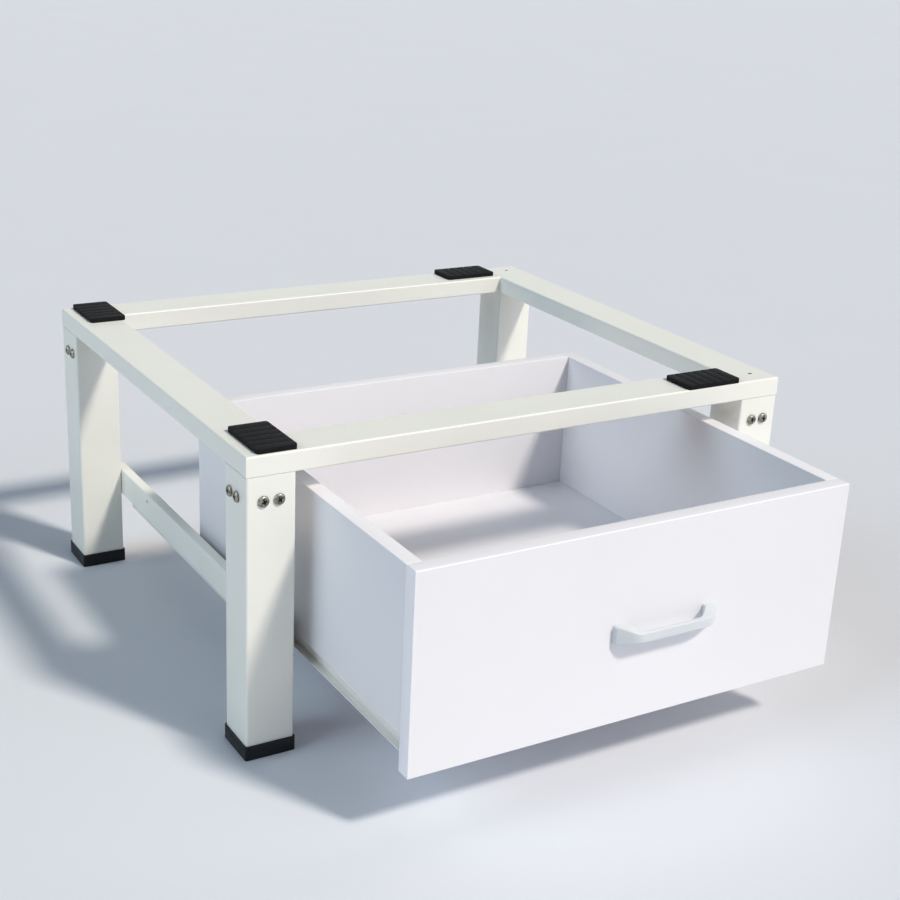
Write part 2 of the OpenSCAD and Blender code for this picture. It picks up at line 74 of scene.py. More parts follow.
def length(name, description, millimetres):
    """A length that a user can change, given in millimetres."""
    return FloatProperty(
        name=name, description=description, default=millimetres * MM, unit="LENGTH", precision=5
    )


def colour(name, description, hex_colour):
    """A colour that a user can change, given as sRGB hex."""
    return FloatVectorProperty(
        name=name,
        description=description,
        subtype="COLOR",
        size=4,
        min=0,
        max=1,
        default=linear(hex_colour),
    )


class PedestalSizes(bpy.types.PropertyGroup):
    """Sizes of the pieces made here. Where a piece stands comes from the frame."""

    board_round: length("Board rounding", "Rounding on the boards' edges", 0.9)
    banding: length("Edge banding", "Thickness of the strip glued round the drawer front", 1.0)
    cap_round: length("Cap corner", "Radius of a foot cap's upright corners", 2.4)
    cap_wall: length("Cap wall", "Wall of a foot cap round the leg", 1.5)
    cap_base: length("Cap base", "Thickness of a foot cap under the leg", 3.0)
    pad_round: length("Pad corner", "Radius of a pad's upright corners", 3.0)
    pad_groove: length("Pad groove", "Width and depth of the grooves across a pad", 1.0)
    head_across: length("Screw head", "Diameter of the leg screws' heads", 11.4)
    head_height: length("Screw head height", "Height of the leg screws' heads", 2.8)
    screw_pitch: length("Screw pitch", "Distance between the two screws on a leg's face", 16.0)
    side_shift: length("Side screw shift", "Shift of the side screws to the stand's middle", 4.0)
    foot_width: length("Handle foot width", "Width of a handle foot on the board", 15.0)
    foot_plate: length("Handle foot plate", "Thickness of a handle foot's edge on the board", 4.6)
    bar_length: length("Handle bar length", "Length of the handle's front bar", 86.0)
    bar_height: length("Handle bar height", "Height of the handle's front bar", 10.0)
    bar_thick: length("Handle bar thickness", "Thickness of the handle's front bar", 5.0)
    handle_round: length("Handle rounding", "Rounding on the handle's edges", 1.1)
    hole_across: length("Corner hole", "Diameter of the hole at a corner of the top frame", 4.8)
    hole_inset: length("Corner hole inset", "Distance of the hole from the frame's faces", 21.5)


class PedestalColours(bpy.types.PropertyGroup):
    """Colours of the finishes."""

    cream: colour("Cream", "Powder coat on the steel stand", "#F5F4EC")
    board: colour("Board", "White paper on the drawer's boards", "#EDEBEF")
    banding: colour("Banding", "Plastic strip on the boards' edges", "#FBF8FC")
    runner: colour("Runner", "Epoxy coat on the runners", "#F4F0EA")
    handle: colour("Handle", "Moulded handle", "#D7DBDE")
    nylon: colour("Nylon", "Rollers", "#F2F2EE")
    cap: colour("Cap", "Foot caps", "#070A0D")
    rubber: colour("Rubber", "Anti-slip pads", "#050506")
    zinc: colour("Zinc", "Plated screws", "#A9A7A1")
    zinc_tint: colour("Zinc tint", "Yellow film on the plated screws", "#716D5B")
    beech: colour("Beech", "Dowels", "#D8B98A")
    floor: colour("Floor", "Studio floor", "#E8EAF0")


# ---- materials ----


def add_node(tree, kind, settings=None, **inputs):
    """A node with its settings, each input given as a value or as the output that feeds it."""
    node = tree.nodes.new(kind)
    for name, value in (settings or {}).items():
        setattr(node, name, value)
    for name, value in inputs.items():
        # _0 means the first socket, and From_Min the socket of that name
        key = int(name[1:]) if name[1:].isdigit() else name.replace("_", " ")
        socket = node.inputs[key]
        if isinstance(value, bpy.types.NodeSocket):
            tree.links.new(value, socket)
        else:
            socket.default_value = value
    return node


def new_material(name):
    """An empty material, its node tree, its shader and its Object coordinates."""
    material = bpy.data.materials.new(name)
    material.use_nodes = True
    tree = material.node_tree
    tree.nodes.clear()
    shader = add_node(tree, "ShaderNodeBsdfPrincipled")
    output = add_node(tree, "ShaderNodeOutputMaterial")
    tree.links.new(shader.outputs["BSDF"], output.inputs["Surface"])
    place = add_node(tree, "ShaderNodeTexCoord").outputs["Object"]
    return material, tree, shader, place


def set_shader(shader, **values):
    """Constant values on the shader's own sockets."""
    for name, value in values.items():
        shader.inputs[name.replace("_", " ")].default_value = value


def feed(tree, output, shader, name):
    """Links an output to one of the shader's sockets."""
    tree.links.new(output, shader.inputs[name])


def noise(tree, place, grain_mm, detail=2.0, roughness=0.5):
    """Noise whose lumps are about grain_mm across."""
    scale = 1 / (grain_mm * MM)
    node = add_node(
        tree, "ShaderNodeTexNoise", Vector=place, Scale=scale, Detail=detail, Roughness=roughness
    )
    return node.outputs["Fac"]


def spread(tree, value, low, high, out_low, out_high):
    """Maps value from low..high to out_low..out_high, clamped."""
    node = add_node(
        tree,
        "ShaderNodeMapRange",
        Value=value,
        From_Min=low,
        From_Max=high,
        To_Min=out_low,
        To_Max=out_high,
    )
    return node.outputs["Result"]


def mixed(tree, share, first, second):
    """Mixes two colours by share."""
    # the mix node's sockets 6 and 7 are the two colours, and output 2 is their mix
    node = add_node(tree, "ShaderNodeMix", {"data_type": "RGBA"}, _0=share, _6=first, _7=second)
    return node.outputs[2]


def shaded(rgba, factor):
    """A colour made lighter or darker."""
    return tuple(min(1.0, c * factor) for c in rgba[:3]) + (1.0,)


def bump(tree, height, shader, depth_mm, strength=1.0):
    """Relief on the shader, depth_mm from its lowest to its highest."""
    deep = depth_mm * MM
    node = add_node(tree, "ShaderNodeBump", Strength=strength, Distance=deep, Height=height)
    feed(tree, node.outputs["Normal"], shader, "Normal")


def powder_coated_steel(name, rgba):
    """Polyester powder coat, baked on: satin, with a soft orange peel and a faint drift in tone."""
    material, tree, shader, place = new_material(name)
    set_shader(shader, Metallic=0.0, IOR=1.5)
    drift = spread(tree, noise(tree, place, 90, 3), 0.35, 0.65, 0, 1)
    tone = mixed(tree, drift, shaded(rgba, 0.985), shaded(rgba, 1.01))
    feed(tree, tone, shader, "Base Color")
    feed(tree, spread(tree, noise(tree, place, 25, 3), 0.3, 0.7, 0.36, 0.46), shader, "Roughness")
    # real peel is 1 to 2 mm across; 3 mm shows in the render
    bump(tree, noise(tree, place, 3.0, 2), shader, 0.03, 0.5)
    return material


def melamine_board(name, rgba):
    """Melamine paper pressed on chipboard: cool white satin with the press plate's fine pearls."""
    material, tree, shader, place = new_material(name)
    set_shader(shader, Metallic=0.0, IOR=1.5)
    drift = spread(tree, noise(tree, place, 140, 2), 0.35, 0.65, 0, 1)
    feed(tree, mixed(tree, drift, shaded(rgba, 0.99), shaded(rgba, 1.005)), shader, "Base Color")
    feed(tree, spread(tree, noise(tree, place, 40, 3), 0.3, 0.7, 0.4, 0.48), shader, "Roughness")
    # real pearl grains are under 1 mm; 2 mm shows in the render
    bump(tree, noise(tree, place, 2.0, 3, 0.6), shader, 0.02, 0.5)
    return material


def edge_banding(name, rgba):
    """ABS strip glued to a board's edge and scraped: glossier than the paper, faintly rippled."""
    material, tree, shader, place = new_material(name)
    set_shader(shader, Metallic=0.0, IOR=1.53)
    tone = mixed(tree, noise(tree, place, 60, 2), shaded(rgba, 0.985), rgba)
    feed(tree, tone, shader, "Base Color")
    feed(tree, spread(tree, noise(tree, place, 12, 2), 0.3, 0.7, 0.3, 0.4), shader, "Roughness")
    bump(tree, noise(tree, place, 6.0, 1), shader, 0.02, 0.4)
    return material


def epoxy_coated_strip(name, rgba):
    """Thin epoxy coat on roll-formed strip: glossy, with faint streaks along the strip."""
    material, tree, shader, place = new_material(name)
    set_shader(shader, Metallic=0.0, IOR=1.5)
    streak_wide, streak_long = 3 * MM, 120 * MM
    scale = (1 / streak_wide, 1 / streak_long, 1 / streak_wide)
    stretched = add_node(tree, "ShaderNodeMapping", Vector=place, Scale=scale).outputs["Vector"]
    # the stretch holds the size, so that the noise itself has scale 1
    streaked = add_node(tree, "ShaderNodeTexNoise", Vector=stretched, Scale=1.0, Detail=2.0)
    streaks = streaked.outputs["Fac"]
    share = spread(tree, streaks, 0.35, 0.65, 0, 1)
    feed(tree, mixed(tree, share, shaded(rgba, 0.95), shaded(rgba, 1.02)), shader, "Base Color")
    feed(tree, spread(tree, streaks, 0.3, 0.7, 0.24, 0.36), shader, "Roughness")
    bump(tree, streaks, shader, 0.01, 0.3)
    return material


def moulded_plastic(name, rgba, roughness, grain_mm, depth_mm, ior=1.49, gloss=0.5):
    """Injection-moulded plastic: even colour, with the fine spark-eroded grain of the mould."""
    material, tree, shader, place = new_material(name)
    set_shader(shader, Metallic=0.0, IOR=ior, Specular_IOR_Level=gloss)
    tone = mixed(tree, noise(tree, place, 30, 2), shaded(rgba, 0.96), shaded(rgba, 1.02))
    feed(tree, tone, shader, "Base Color")
    rough = spread(tree, noise(tree, place, 8, 3), 0.3, 0.7, roughness - 0.05, roughness + 0.05)
    feed(tree, rough, shader, "Roughness")
    bump(tree, noise(tree, place, grain_mm, 3, 0.6), shader, depth_mm, 0.6)
    return material


def moulded_rubber(name, rgba):
    """Black rubber, moulded: dead matte, with a trace of dust."""
    material, tree, shader, place = new_material(name)
    set_shader(shader, Metallic=0.0, IOR=1.52, Specular_IOR_Level=0.2)
    dust = spread(tree, noise(tree, place, 4, 4, 0.7), 0.45, 0.75, 0, 0.3)
    feed(tree, mixed(tree, dust, rgba, linear("#1E2021")), shader, "Base Color")
    feed(tree, spread(tree, noise(tree, place, 3, 3), 0.3, 0.7, 0.72, 0.88), shader, "Roughness")
    bump(tree, noise(tree, place, 1.5, 3, 0.6), shader, 0.08, 0.6)
    return material


def plated_steel(name, rgba, tint):
    """Zinc-plated steel under a thin passivation film: bright metal with patches of its tint."""
    material, tree, shader, place = new_material(name)
    set_shader(shader, Metallic=1.0)
    patches = spread(tree, noise(tree, place, 3.0, 3, 0.6), 0.4, 0.62, 0, 1)
    feed(tree, mixed(tree, patches, rgba, tint), shader, "Base Color")
    feed(tree, spread(tree, noise(tree, place, 1.5, 3), 0.3, 0.7, 0.22, 0.42), shader, "Roughness")
    bump(tree, noise(tree, place, 0.8, 2), shader, 0.02, 0.5)
    return material


def turned_beech(name, rgba):
    """Plain beech dowel: pale wood with short flecks along the grain."""
    material, tree, shader, place = new_material(name)
    set_shader(shader, Metallic=0.0, IOR=1.5)
    flecks = noise(tree, place, 1.5, 4, 0.7)
    tone = mixed(tree, spread(tree, flecks, 0.4, 0.6, 0, 1), shaded(rgba, 0.75), rgba)
    feed(tree, tone, shader, "Base Color")
    feed(tree, spread(tree, flecks, 0.3, 0.7, 0.55, 0.7), shader, "Roughness")
    bump(tree, flecks, shader, 0.05, 0.5)
    return material


def painted_hole_shade(name):
    """Painted shade standing in for the shadowed inside of a hole."""
    material, tree, shader, place = new_material(name)
    set_shader(shader, Metallic=0.0, Roughness=0.9)
    tone = mixed(tree, noise(tree, place, 2, 2), linear("#1B1D1C"), linear("#343733"))
    feed(tree, tone, shader, "Base Color")
    return material


def painted_floor(name, rgba):
    """Matte painted studio floor, with a faint roller texture."""
    material, tree, shader, place = new_material(name)
    set_shader(shader, Metallic=0.0, IOR=1.4)
    tone = mixed(tree, noise(tree, place, 900, 2), shaded(rgba, 0.995), rgba)
    feed(tree, tone, shader, "Base Color")
    feed(tree, spread(tree, noise(tree, place, 300, 2), 0.3, 0.7, 0.55, 0.65), shader, "Roughness")
    return material


def dress(piece, *materials):
    """Gives a piece its materials in slot order."""
    piece.data.materials.clear()
    for material in materials:
        piece.data.materials.append(material)


def dress_nodes(material, *names):
    """Puts a material on CAD nodes, which keep their shape."""
    for name in names:
        dress(NODES[name], material)


# ---- modelling ----


def only(piece):
    """Selects one piece and nothing else."""
    bpy.ops.object.select_all(action="DESELECT")
    piece.select_set(True)
    bpy.context.view_layer.objects.active = piece


def settle(piece):
    """Applies a piece's place, turn and scale to its mesh, so that its object is at the origin."""
    only(piece)
    bpy.ops.object.transform_apply(location=True, rotation=True, scale=True)


def block(name, low, high):
    """A box from corner to corner."""
    bpy.ops.object.select_all(action="DESELECT")
    low, high = Vector(low), Vector(high)
    bpy.ops.mesh.primitive_cube_add(size=1, location=(low + high) / 2, scale=high - low)
    piece = bpy.context.active_object
    piece.name = name
    settle(piece)
    return piece


def pick(piece, part, test):
    """In edit mode, selects the faces or edges that pass the test."""
    bpy.ops.mesh.select_mode(type="FACE" if part == "faces" else "EDGE")
    bpy.ops.mesh.select_all(action="DESELECT")
    shape = bmesh.from_edit_mesh(piece.data)
    for item in getattr(shape, part):
        if test(item):
            item.select_set(True)
    shape.select_flush_mode()
    bmesh.update_edit_mesh(piece.data)


def start_edit(piece):
    """Enters edit mode on a piece with all its faces selected."""
    only(piece)
    bpy.ops.object.mode_set(mode="EDIT")
    bpy.ops.mesh.select_mode(type="FACE")
    bpy.ops.mesh.select_all(action="SELECT")


def end_edit():
    """Leaves edit mode."""
    bpy.ops.object.mode_set(mode="OBJECT")


def extrude(step):
    """In edit mode, extrudes the selected faces by a step."""
    bpy.ops.mesh.extrude_region_move(TRANSFORM_OT_translate={"value": step})


def bevel_edges(width, segments):
    """In edit mode, bevels the selected edges."""
    bpy.ops.mesh.bevel(offset=width, segments=segments, affect="EDGES")


def give_material(number):
    """In edit mode, gives the selected faces the material of that number."""
    bpy.context.object.active_material_index = number
    bpy.ops.object.material_slot_assign()


def facing(axis, sign):
    """A test for faces that look along an axis."""
    return lambda face: face.normal[axis] * sign > 0.9


def at_height(z):
    """A test for edges that lie at a height."""
    return lambda edge: all(abs(v.co.z - z) < TOUCH for v in edge.verts)


def along(axis):
    """A test for edges that run along an axis."""

    def test(edge):
        step = edge.verts[1].co - edge.verts[0].co
        return step.length > 0 and abs(step[axis]) > 0.99 * step.length

    return test


def on_box_edge(low, high, slack=1e-5):
    """A test for edges that lie on an outer edge of the box."""

    def at_side(point, axis):
        return abs(point[axis] - low[axis]) < slack or abs(point[axis] - high[axis]) < slack

    def test(edge):
        first, second = (v.co for v in edge.verts)
        sides = [
            at_side(first, a) and at_side(second, a) and abs(first[a] - second[a]) < slack
            for a in range(3)
        ]
        return sum(sides) > 1

    return test


def round_edges(piece, test, radius, segments=3):
    """Bevels the edges that pass the test."""
    start_edit(piece)
    pick(piece, "edges", test)
    bevel_edges(radius, segments)
    end_edit()


def smooth(piece, degrees=35):
    """Smooth shading, with creases kept above an angle."""
    only(piece)
    bpy.ops.object.shade_smooth_by_angle(angle=math.radians(degrees))


def apply_modifier(piece, kind, **settings):
    """Adds a modifier and applies it."""
    only(piece)
    modifier = piece.modifiers.new(kind.title(), kind)
    for name, value in settings.items():
        setattr(modifier, name, value)
    bpy.ops.object.modifier_apply(modifier=modifier.name)


def subtract(piece, tool):
    """Cuts a tool out of a piece and removes the tool."""
    apply_modifier(piece, "BOOLEAN", operation="DIFFERENCE", object=tool, solver="EXACT")
    bpy.data.objects.remove(tool)


def copy_to(piece, name, matrix):
    """A copy of a piece with its own mesh, placed by a matrix."""
    copy = piece.copy()
    copy.data = piece.data.copy()
    copy.name = name
    bpy.context.collection.objects.link(copy)
    copy.data.transform(matrix)
    return copy


def seat(piece, body, slot, *nodes):
    """Fixes a finished piece to its body and hides the nodes it stands for. The material slot is
    not used.
    """
    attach(piece, body)
    if nodes:
        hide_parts(*nodes)


# ---- pieces ----


class PEDESTAL_OT_coat_stand(bpy.types.Operator):
    """Coat the steel stand and dress its hidden sockets"""

    bl_idname = "pedestal.coat_stand"
    bl_label = "Coat the stand"
    rim = 0.35 * MM  # width and height of the coat built up round a hole
    sideways = 1 * MM  # the holes lie this much further in along X than along Y

    def execute(self, context):
        colours = context.scene.pedestal_colours
        sizes = context.scene.pedestal_sizes
        coat = powder_coated_steel("Cream powder-coated steel", colours.cream)
        starts = ("socket_", "lower_rail_left", "lower_rail_right")
        names = [n for n in NODES if n.endswith("_rail") or n.startswith(starts)]
        names += [n for n in NODES if n.startswith("leg_") and n != "leg_screws"]
        dress_nodes(coat, *names)

        low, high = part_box("front_rail")
        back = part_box("rear_rail")[1].y
        hollow_shade = painted_hole_shade("Dark hole")
        inset = sizes.hole_inset
        for name, y in (("corner_hole_front", low.y + inset), ("corner_hole_rear", back - inset)):
            centre = (high.x - inset - self.sideways, y, high.z)
            self.corner_hole(name, centre, sizes.hole_across / 2, coat, hollow_shade)
        return {"FINISHED"}

    def corner_hole(self, name, centre, radius, coat, hollow_shade):
        """A small hole in the tube, drawn as a shallow dish in painted shade, with the coat built
        up round its rim.
        """
        rim = self.rim
        bpy.ops.object.select_all(action="DESELECT")
        bpy.ops.mesh.primitive_cylinder_add(
            vertices=40, radius=radius + rim, depth=2 * rim, location=centre
        )
        piece = bpy.context.active_object
        piece.name = name
        settle(piece)
        dress(piece, coat, hollow_shade)
        start_edit(piece)
        pick(piece, "faces", facing(2, 1))
        bpy.ops.mesh.inset(thickness=rim, depth=0)
        extrude((0, 0, -0.8 * rim))
        # the dish's floor and walls take the painted shade of the hole
        give_material(1)
        pick(piece, "edges", at_height(centre[2] + rim))
        bevel_edges(0.3 * rim, 2)
        end_edit()
        smooth(piece)
        seat(piece, "stand", "frame_paint")


class PEDESTAL_OT_fit_foot_caps(bpy.types.Operator):
    """Mould the four foot caps as cups over the legs' ends"""

    bl_idname = "pedestal.fit_foot_caps"
    bl_label = "Fit the foot caps"
    rim_round = 0.5 * MM
    sole_round = 0.6 * MM

    def execute(self, context):
        sizes = context.scene.pedestal_sizes
        black = context.scene.pedestal_colours.cap
        plastic = moulded_plastic("Black moulded polypropylene", black, 0.42, 1.6, 0.05, gloss=0.3)
        for node in [n for n in NODES if n.startswith("foot_cap_")]:
            self.foot_cap(node, sizes, plastic)
        return {"FINISHED"}

    def foot_cap(self, node, sizes, plastic):
        """A cup with upright rounded corners, a softened rim and a thin sole."""
        low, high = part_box(node)
        piece = block(node + "_moulded", low, high)
        round_edges(piece, along(2), sizes.cap_round, 8)
        start_edit(piece)
        pick(piece, "faces", facing(2, 1))
        bpy.ops.mesh.inset(thickness=sizes.cap_wall, depth=0)
        extrude((0, 0, -(high.z - low.z - sizes.cap_base)))
        on_rim, centre = at_height(high.z), (low + high) / 2
        pick(piece, "edges", lambda edge: on_rim(edge) and not self.crosses(edge, centre))
        bevel_edges(self.rim_round, 3)
        pick(piece, "edges", at_height(low.z))
        bevel_edges(self.sole_round, 2)
        end_edit()
        dress(piece, plastic)
        smooth(piece)
        seat(piece, "stand", "cap_plastic", node)

    def crosses(self, edge, centre):
        """True for a rim edge that joins the inner and the outer outline, more than 1 mm apart."""
        reach = [max(abs(v.co.x - centre.x), abs(v.co.y - centre.y)) for v in edge.verts]
        return abs(reach[0] - reach[1]) > 1 * MM


class PEDESTAL_OT_fit_pads(bpy.types.Operator):
    """Mould the four grooved anti-slip pads on the top frame"""

    bl_idname = "pedestal.fit_pads"
    bl_label = "Fit the anti-slip pads"
    grooves = 5
    edge_round = 0.25 * MM

    def execute(self, context):
        sizes = context.scene.pedestal_sizes
        rubber = moulded_rubber("Black moulded rubber", context.scene.pedestal_colours.rubber)
        for node in [n for n in NODES if n.startswith("pad_")]:
            self.pad(node, sizes, rubber)
        return {"FINISHED"}

    def pad(self, node, sizes, rubber):
        """A block with rounded corners and grooves cut across its length."""
        low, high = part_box(node)
        size = high - low
        run = 1 if size.y > size.x else 0
        piece = block(node + "_moulded", low, high)
        round_edges(piece, along(2), sizes.pad_round, 6)
        start_edit(piece)
        half = sizes.pad_groove / 2
        middles = [
            low[run] + size[run] * (k + 1) / (self.grooves + 1) for k in range(self.grooves)
        ]
        direction = Vector((run == 0, run == 1, 0))
        floor_z = high.z - sizes.pad_groove
        bpy.ops.mesh.bisect(plane_co=(0, 0, floor_z), plane_no=(0, 0, 1))
        for middle in middles:
            for place in (middle - half, middle + half):
                bpy.ops.mesh.select_all(action="SELECT")
                bpy.ops.mesh.bisect(plane_co=direction * place, plane_no=direction)

        def in_groove(face):
            return any(abs(face.calc_center_median()[run] - m) < half for m in middles)

        def closes_groove(face):
            upright = abs(face.normal.z) < 0.1 and abs(face.normal[run]) < 0.1
            return upright and face.calc_center_median().z > floor_z and in_groove(face)

        def is_crease(edge):
            first, second = (face.normal for face in edge.link_faces)
            return abs(first.dot(second)) < 0.5

        pick(piece, "faces", lambda face: face.normal.z > 0.9 and in_groove(face))
        extrude((0, 0, -sizes.pad_groove))
        # the grooves run out through the sides
        pick(piece, "faces", closes_groove)
        bpy.ops.mesh.delete(type="FACE")
        bpy.ops.mesh.select_all(action="SELECT")
        bpy.ops.mesh.remove_doubles(threshold=TOUCH)
        on_top = at_height(high.z)
        pick(piece, "edges", lambda edge: on_top(edge) and is_crease(edge))
        bevel_edges(self.edge_round, 2)
        end_edit()
        dress(piece, rubber)
        smooth(piece)
        seat(piece, "stand", "pad_rubber", node)


class PEDESTAL_OT_drive_leg_screws(bpy.types.Operator):
    """Make one pan head screw with a cross recess and copy it to the legs' screw places"""

    bl_idname = "pedestal.drive_leg_screws"
    bl_label = "Drive the leg screws"
    # shares of the head's height
    dome, foot, arm_deep = 0.72, 0.16, 1.4
    # shares of the head's radius, and how far the recess narrows to its floor
    arm_long, arm_wide, taper = 1.3, 0.36, 0.45
    turn_seed = 4

    def execute(self, context):
        sizes = context.scene.pedestal_sizes
        colours = context.scene.pedestal_colours
        plating = plated_steel("Yellow-passivated zinc plate", colours.zinc, colours.zinc_tint)
        # the darker zinc in the cross recess is painted shade for its hollow, not a different
        # plating
        shade = plated_steel("Zinc plate in the recess", linear("#45423B"), linear("#26241F"))
        head = self.pan_head(sizes.head_across / 2, sizes.head_height, plating, shade)
        turns = random.Random(self.turn_seed)
        for number, (place, outward) in enumerate(self.places(sizes), 1):
            turn = Matrix.Rotation(turns.uniform(0, math.pi / 2), 4, "Z")
            facing_out = outward.to_track_quat("Z", "Y").to_matrix().to_4x4()
            matrix = Matrix.Translation(place) @ facing_out @ turn
            screw = copy_to(head, f"leg_screw_{number:02d}", matrix)
            seat(screw, "stand", "zinc_steel", "leg_screws")
        bpy.data.objects.remove(head)
        return {"FINISHED"}

    def pan_head(self, radius, height, plating, shade):
        """A domed head on z = 0 with a tapered cross recess in painted shade and a rounded foot."""
        bpy.ops.object.select_all(action="DESELECT")
        bpy.ops.mesh.primitive_cylinder_add(
            vertices=ROUND_SIDES, radius=radius, depth=height, location=(0, 0, height / 2)
        )
        head = bpy.context.active_object
        head.name = "pan_head"
        settle(head)
        round_edges(head, at_height(height), height * self.dome, 6)
        round_edges(head, at_height(0), height * self.foot, 2)
        dress(head, plating, shade)
        for turn in (0, 90):
            arm = block("recess_arm", (-0.5, -0.5, -0.5), (0.5, 0.5, 0.5))
            arm.scale = (radius * self.arm_long, radius * self.arm_wide, height * self.arm_deep)
            arm.location = (0, 0, height)
            arm.rotation_euler = (0, 0, math.radians(turn))
            settle(arm)
            start_edit(arm)
            pick(arm, "faces", facing(2, -1))
            scale = (self.taper, self.taper, 1)
            bpy.ops.transform.resize(value=scale, center_override=(0, 0, 0))
            end_edit()
            # the recess's cut faces take the painted shade
            dress(arm, shade)
            subtract(head, arm)
        smooth(head, 40)
        return head

    def places(self, sizes):
        """Each screw's place on a leg's outer face, and the way that face looks."""
        sign = {"front": -1, "rear": 1, "left": -1, "right": 1}
        low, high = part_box("leg_screws")
        z = (low.z + high.z) / 2
        for leg in ("leg_front_left", "leg_front_right", "leg_rear_left", "leg_rear_right"):
            corner_low, corner_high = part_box(leg)
            _, end, side = leg.split("_")
            middle = (corner_low + corner_high) / 2
            face_y = corner_low.y if end == "front" else corner_high.y
            face_x = corner_low.x if side == "left" else corner_high.x
            side_middle = middle.y - sign[end] * sizes.side_shift
            for step in (-sizes.screw_pitch / 2, sizes.screw_pitch / 2):
                yield Vector((middle.x + step, face_y, z)), Vector((0, sign[end], 0))
                yield Vector((face_x, side_middle + step, z)), Vector((sign[side], 0, 0))


class PEDESTAL_OT_hang_runners(bpy.types.Operator):
    """Finish the runners, their rollers and their fixings"""

    bl_idname = "pedestal.hang_runners"
    bl_label = "Hang the runners"

    def execute(self, context):
        colours = context.scene.pedestal_colours
        strip = epoxy_coated_strip("White epoxy-coated strip", colours.runner)
        for side in ("left", "right"):
            dress_nodes(strip, "fixed_runner_" + side, "drawer_runner_" + side)
        dress_nodes(strip, "drawer_runner_screws")
        nylon = moulded_plastic("White nylon", colours.nylon, 0.35, 1.2, 0.02, 1.53)
        dress_nodes(nylon, *[n for n in NODES if "_roller_" in n and not n.endswith("axles")])
        plating = plated_steel("Bright zinc plate", colours.zinc, shaded(colours.zinc, 0.8))
        dress_nodes(plating, "fixed_runner_screws", "lower_rail_screws", "bottom_screws")
        dress_nodes(plating, "front_roller_axles", "rear_roller_axles")
        dress_nodes(plating, "handle_screws", "cam_locks", "cam_bolts")
        dress_nodes(turned_beech("Turned beech", colours.beech), "drawer_dowels")
        return {"FINISHED"}


class PEDESTAL_OT_build_drawer(bpy.types.Operator):
    """Make the drawer's boards with rounded edges and the front's edge banding"""

    bl_idname = "pedestal.build_drawer"
    bl_label = "Build the drawer"
    pocket_play = 0.1 * MM
    pocket_deep = 12.5 * MM

    def execute(self, context):
        sizes = context.scene.pedestal_sizes
        colours = context.scene.pedestal_colours
        paper = melamine_board("White melamine-faced board", colours.board)
        strip = edge_banding("White edge banding", colours.banding)
        self.front(sizes, paper, strip)
        for side in ("left", "right"):
            self.side(side, sizes, paper, strip)
        low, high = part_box("drawer_back")
        back = block("drawer_back_board", low, high)
        round_edges(back, on_box_edge(low, high), sizes.board_round / 2, 3)
        self.finish_board(back, "drawer_back", paper, strip, lambda f: f.normal.z > 0.5)
        dress_nodes(paper, "drawer_bottom")
        return {"FINISHED"}

    def front(self, sizes, paper, strip):
        """The drawer front, with a banding strip round all four edges."""
        low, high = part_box("drawer_front")
        board = block("drawer_front_board", low, high)
        start_edit(board)
        for axis in (0, 2):
            for edge, inward in ((low, 1), (high, -1)):
                cut = Vector((0, 0, 0))
                cut[axis] = edge[axis] + inward * sizes.banding
                bpy.ops.mesh.select_all(action="SELECT")
                bpy.ops.mesh.bisect(plane_co=cut, plane_no=[float(axis == a) for a in range(3)])
        end_edit()
        round_edges(board, on_box_edge(low, high), sizes.board_round, 4)

        def banded(face):
            middle = face.calc_center_median()
            return any(
                middle[a] < low[a] + sizes.banding or middle[a] > high[a] - sizes.banding
                for a in (0, 2)
            )

        self.finish_board(board, "drawer_front", paper, strip, banded)

    def side(self, side, sizes, paper, strip):
        """A side board with a rounded, banded top edge and pockets for its cam locks."""
        node = "drawer_side_" + side
        low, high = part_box(node)
        board = block(node + "_board", low, high)
        round_edges(board, on_box_edge(low, high), sizes.board_round, 4)
        inner = high.x if side == "left" else low.x
        cam_low, cam_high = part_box("cam_locks")
        radius = (cam_high.y - cam_low.y) / 2 + self.pocket_play
        for z in (cam_low.z + radius, cam_high.z - radius):
            bpy.ops.object.select_all(action="DESELECT")
            place = (inner, (cam_low.y + cam_high.y) / 2, z)
            bpy.ops.mesh.primitive_cylinder_add(
                vertices=ROUND_SIDES,
                radius=radius,
                depth=2 * self.pocket_deep,
                location=place,
                rotation=(0, math.pi / 2, 0),
            )
            pocket = bpy.context.active_object
            settle(pocket)
            dress(pocket, paper)
            subtract(board, pocket)
        top = high.z - sizes.board_round / 4
        self.finish_board(board, node, paper, strip, lambda f: f.calc_center_median().z > top)

    def finish_board(self, board, node, paper, strip, banded):
        """Gives a board its two materials and fixes it to the drawer."""
        dress(board, paper, strip)
        for face in board.data.polygons:
            face.material_index = 0
        start_edit(board)
        pick(board, "faces", banded)
        give_material(1)
        end_edit()
        smooth(board)
        seat(board, "drawer", "white_board", node)


